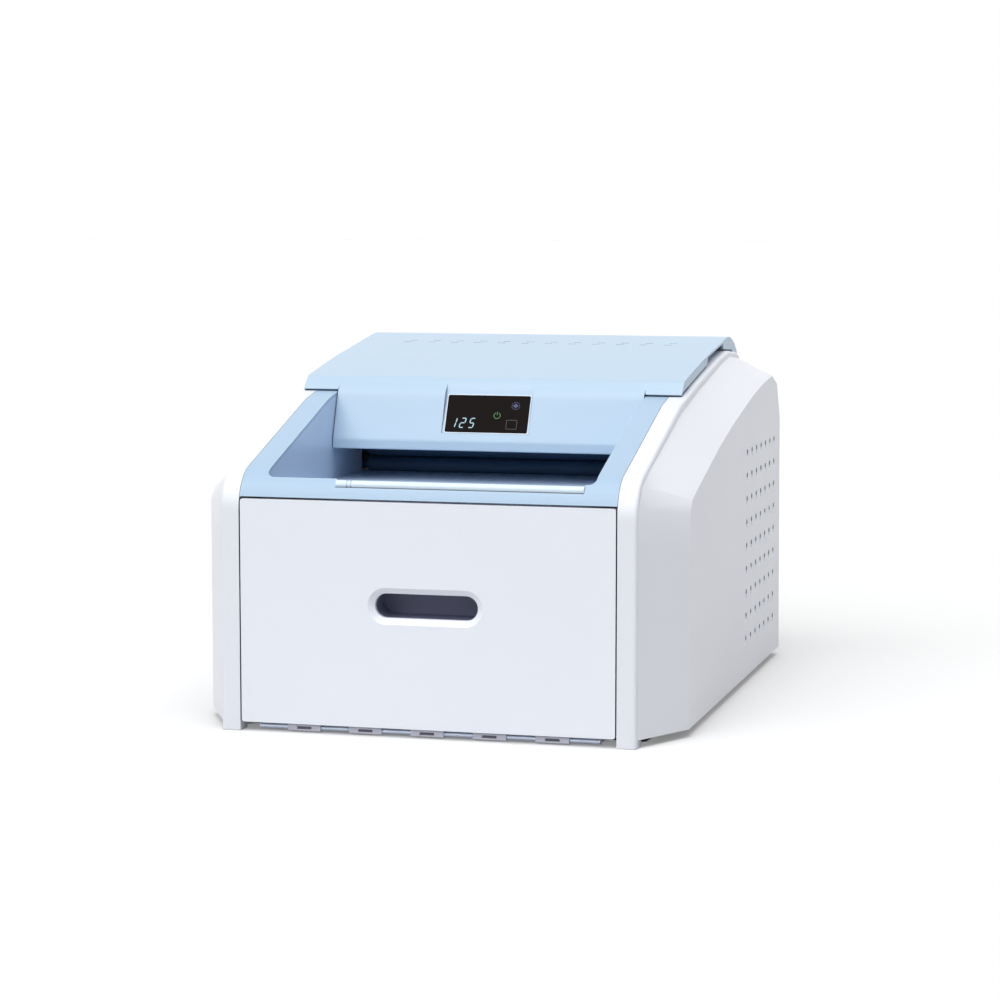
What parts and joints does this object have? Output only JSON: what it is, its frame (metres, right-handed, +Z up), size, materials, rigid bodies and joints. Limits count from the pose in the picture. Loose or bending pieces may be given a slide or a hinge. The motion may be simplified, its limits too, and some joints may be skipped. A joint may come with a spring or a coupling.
{
  "type": "dry laser imager",
  "caption": "Tabletop dry film printer with a front film drawer, a blue top tray and a hinged lid that carries the display.",
  "frame": {"origin": "middle of the footprint, on the table", "axes": "+X to the right, +Y to the back, +Z up; the front faces -Y"},
  "size_m": [0.531, 0.659, 0.3986],
  "materials": {
    "white_shell": "fine-textured moulded plastic",
    "door_white": "fine-textured moulded plastic, cool white",
    "light_blue": "fine-textured moulded plastic, light blue",
    "tray_blue": "moulded plastic, blue",
    "stop_bar_blue": "smooth pale bar",
    "rear_white": "powder-coated sheet",
    "cup_dark": "dark violet-grey plastic",
    "display_glass": "smoked window, near black",
    "steel_sheet": "zinc-coated sheet",
    "sill_plastic": "pale grey lugs and rail",
    "bright_steel": "bright plated",
    "aluminium": "machined",
    "rubber": "matt black rubber",
    "gear_plastic": "natural acetal",
    "bronze": "sintered bronze",
    "motor_black": "black coated",
    "black_plastic": "black plastic",
    "board_green": "green circuit board",
    "lens_glass": "clear lens"
  },
  "bodies": {
    "chassis": {"base_plate": "steel_sheet", "rubber_feet": "rubber", "left_side_frame": "steel_sheet", "right_side_frame": "steel_sheet", "roller_bushes": "bronze", "cross_deck": "steel_sheet", "front_sill_rail": "sill_plastic", "sill_rod": "bright_steel", "left_trim_frame": "white_shell", "right_trim_frame": "white_shell", "left_side_cover": "white_shell", "right_side_cover": "white_shell", "rear_cover": "rear_white", "rear_cover_screws": "bright_steel", "exit_tray_bezel": "light_blue", "exit_tray_pan": "tray_blue", "film_stop_bar": "stop_bar_blue", "left_outer_rail": "steel_sheet", "right_outer_rail": "steel_sheet", "lid_hinge_pins": "bright_steel", "drum_hood": "steel_sheet", "drive_motor": "motor_black", "feed_motor": "motor_black", "film_guide_plates": "steel_sheet", "laser_housing": "aluminium", "polygon_motor": "motor_black", "scan_lens": "lens_glass", "laser_diode": "motor_black", "main_board": "board_green", "power_supply": "steel_sheet", "fan_frame": "black_plastic", "power_inlet": "black_plastic", "network_port": "steel_sheet"},
    "film_drawer": {"drawer_front_panel": "door_white", "handle_cup": "cup_dark", "film_tray_pan": "steel_sheet", "film_side_guides": "steel_sheet", "left_inner_rail": "steel_sheet", "right_inner_rail": "steel_sheet"},
    "middle_rails": {"left_middle_rail": "steel_sheet", "right_middle_rail": "steel_sheet"},
    "lift_plate": {"film_lift_plate": "steel_sheet"},
    "top_lid": {"top_cover": "light_blue", "control_housing": "light_blue", "display_window": "display_glass", "display_board": "board_green", "lid_hinge_arms": "steel_sheet"},
    "heat_drum": {"heat_drum": "aluminium", "drum_gear": "gear_plastic"},
    "idler": {"idler_gear": "gear_plastic"},
    "exit_roller": {"exit_roller": "rubber", "exit_gear": "gear_plastic"},
    "exit_pinch": {"exit_pinch_roller": "rubber"},
    "pinion": {"motor_pinion": "bright_steel"},
    "feed_roller": {"feed_roller": "rubber"},
    "feed_pinch": {"feed_pinch_roller": "rubber"},
    "pickup": {"pickup_roller": "rubber"},
    "polygon": {"polygon_mirror": "aluminium"},
    "fan": {"fan_rotor": "black_plastic"},
    "rocker": {"power_rocker": "black_plastic"}
  },
  "joints": [
    {"name": "drawer_slide", "type": "slide", "parent": "chassis", "child": "film_drawer", "axis": [0, -1, 0], "range_m": [0, 0.36]},
    {"name": "middle_rail_slide", "type": "slide", "parent": "chassis", "child": "middle_rails", "axis": [0, -1, 0], "range_m": [0, 0.18]},
    {"name": "lift_plate_hinge", "type": "hinge", "parent": "film_drawer", "child": "lift_plate", "pos_m": [0, -0.0825, 0.026], "axis": [1, 0, 0], "range_deg": [0, 5]},
    {"name": "lid_hinge", "type": "hinge", "parent": "chassis", "child": "top_lid", "pos_m": [0, 0.2665, 0.37], "axis": [-1, 0, 0], "range_deg": [0, 50]},
    {"name": "drum_spin", "type": "hinge", "parent": "chassis", "child": "heat_drum", "pos_m": [0, 0.1705, 0.285], "axis": [1, 0, 0], "continuous": true},
    {"name": "idler_spin", "type": "hinge", "parent": "chassis", "child": "idler", "pos_m": [0, 0.09298, 0.25013], "axis": [1, 0, 0], "continuous": true},
    {"name": "exit_roller_spin", "type": "hinge", "parent": "chassis", "child": "exit_roller", "pos_m": [0, 0.0455, 0.2515], "axis": [1, 0, 0], "continuous": true},
    {"name": "exit_pinch_spin", "type": "hinge", "parent": "chassis", "child": "exit_pinch", "pos_m": [0, 0.0455, 0.2701], "axis": [1, 0, 0], "continuous": true},
    {"name": "pinion_spin", "type": "hinge", "parent": "chassis", "child": "pinion", "pos_m": [0, 0.2005, 0.23304], "axis": [1, 0, 0], "continuous": true},
    {"name": "feed_roller_spin", "type": "hinge", "parent": "chassis", "child": "feed_roller", "pos_m": [0, 0.1732, 0.084], "axis": [1, 0, 0], "continuous": true},
    {"name": "feed_pinch_spin", "type": "hinge", "parent": "chassis", "child": "feed_pinch", "pos_m": [0, 0.1938, 0.084], "axis": [1, 0, 0], "continuous": true},
    {"name": "pickup_spin", "type": "hinge", "parent": "chassis", "child": "pickup", "pos_m": [0, 0.1105, 0.078], "axis": [1, 0, 0], "continuous": true},
    {"name": "polygon_spin", "type": "hinge", "parent": "chassis", "child": "polygon", "pos_m": [0, -0.1595, 0.142], "axis": [0, 0, 1], "continuous": true},
    {"name": "fan_spin", "type": "hinge", "parent": "chassis", "child": "fan", "pos_m": [-0.12, 0.308, 0.25], "axis": [0, 1, 0], "continuous": true},
    {"name": "rocker_pivot", "type": "hinge", "parent": "chassis", "child": "rocker", "pos_m": [0.15, 0.3165, 0.078], "axis": [1, 0, 0], "range_deg": [-8, 8]}
  ],
  "couplings": [
    {"joint": "middle_rail_slide", "follows": "drawer_slide", "ratio": 0.5},
    {"joint": "idler_spin", "follows": "drum_spin", "ratio": -1.4286},
    {"joint": "exit_roller_spin", "follows": "drum_spin", "ratio": 4},
    {"joint": "exit_pinch_spin", "follows": "drum_spin", "ratio": -5},
    {"joint": "pinion_spin", "follows": "drum_spin", "ratio": -5},
    {"joint": "feed_pinch_spin", "follows": "feed_roller_spin", "ratio": -1.5}
  ]
}
